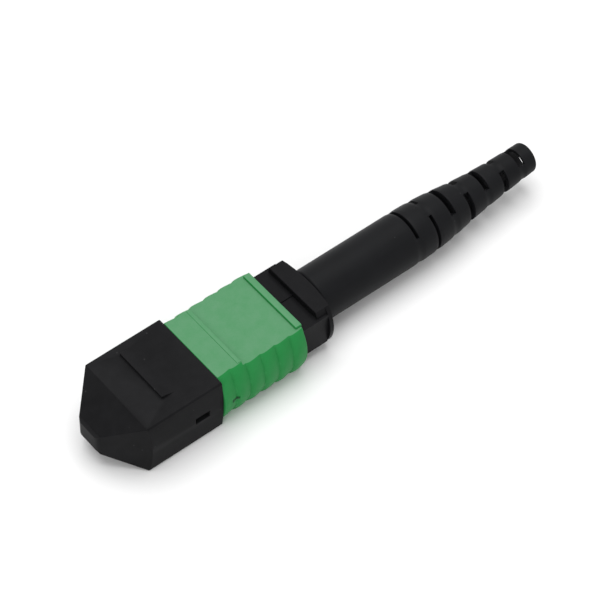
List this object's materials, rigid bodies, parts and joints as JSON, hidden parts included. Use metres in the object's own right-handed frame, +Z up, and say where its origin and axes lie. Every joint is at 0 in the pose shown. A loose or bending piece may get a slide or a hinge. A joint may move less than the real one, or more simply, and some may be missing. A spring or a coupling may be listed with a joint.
{
  "type": "multi-fibre push-on connector plug",
  "caption": "Multi-fibre push-on optical plug: hipped dust cap, ribbed green pull-back sleeve, flanged rear body and a slotted tapering boot round a sprung ferrule with guide pins.",
  "frame": {"origin": "centre of the ferrule's end face, on the plug's axis", "axes": "+X from the nose to the cable end, along the axis; +Y across the fibre row, to the far side in the picture; +Z up, the side with the key"},
  "size_m": [0.0645, 0.0126, 0.0082],
  "materials": {
    "cap_plastic": "fine moulded satin, black",
    "sleeve_plastic": "moulded satin, green",
    "housing_plastic": "moulded satin, black",
    "ferrule_plastic": "glass-filled, dull tan, polished end face",
    "pin_steel": "ground and polished",
    "clamp_steel": "stamped, bare",
    "inner_rubber": "soft, off-white",
    "spring_steel": "drawn wire, bare",
    "body_plastic": "moulded satin, black",
    "crimp_metal": "bare tube",
    "boot_rubber": "smooth flexible moulding, black"
  },
  "bodies": {
    "housing": {"inner_housing": "housing_plastic", "spring_push": "body_plastic", "crimp_sleeve": "crimp_metal", "strain_relief_boot": "boot_rubber", "ferrule_spring": "spring_steel", "coupling_spring_left": "spring_steel", "coupling_spring_right": "spring_steel"},
    "ferrule": {"mt_ferrule": "ferrule_plastic", "guide_pin_left": "pin_steel", "guide_pin_right": "pin_steel", "pin_clamp": "clamp_steel", "ferrule_boot": "inner_rubber"},
    "sleeve": {"sliding_sleeve": "sleeve_plastic"},
    "cap": {"dust_cap": "cap_plastic"}
  },
  "joints": [
    {"name": "sleeve_slide", "type": "slide", "parent": "housing", "child": "sleeve", "axis": [1, 0, 0], "range_m": [0, 0.0025], "stiffness_N_per_m": 800, "springref_m": -0.006, "deforming": ["coupling_spring_left", "coupling_spring_right"]},
    {"name": "ferrule_float", "type": "slide", "parent": "housing", "child": "ferrule", "axis": [1, 0, 0], "range_m": [0, 0.001], "stiffness_N_per_m": 2000, "springref_m": -0.0035, "deforming": ["ferrule_spring"]},
    {"name": "cap_pull", "type": "slide", "parent": "housing", "child": "cap", "axis": [-1, 0, 0], "range_m": [0, 0.018]}
  ]
}
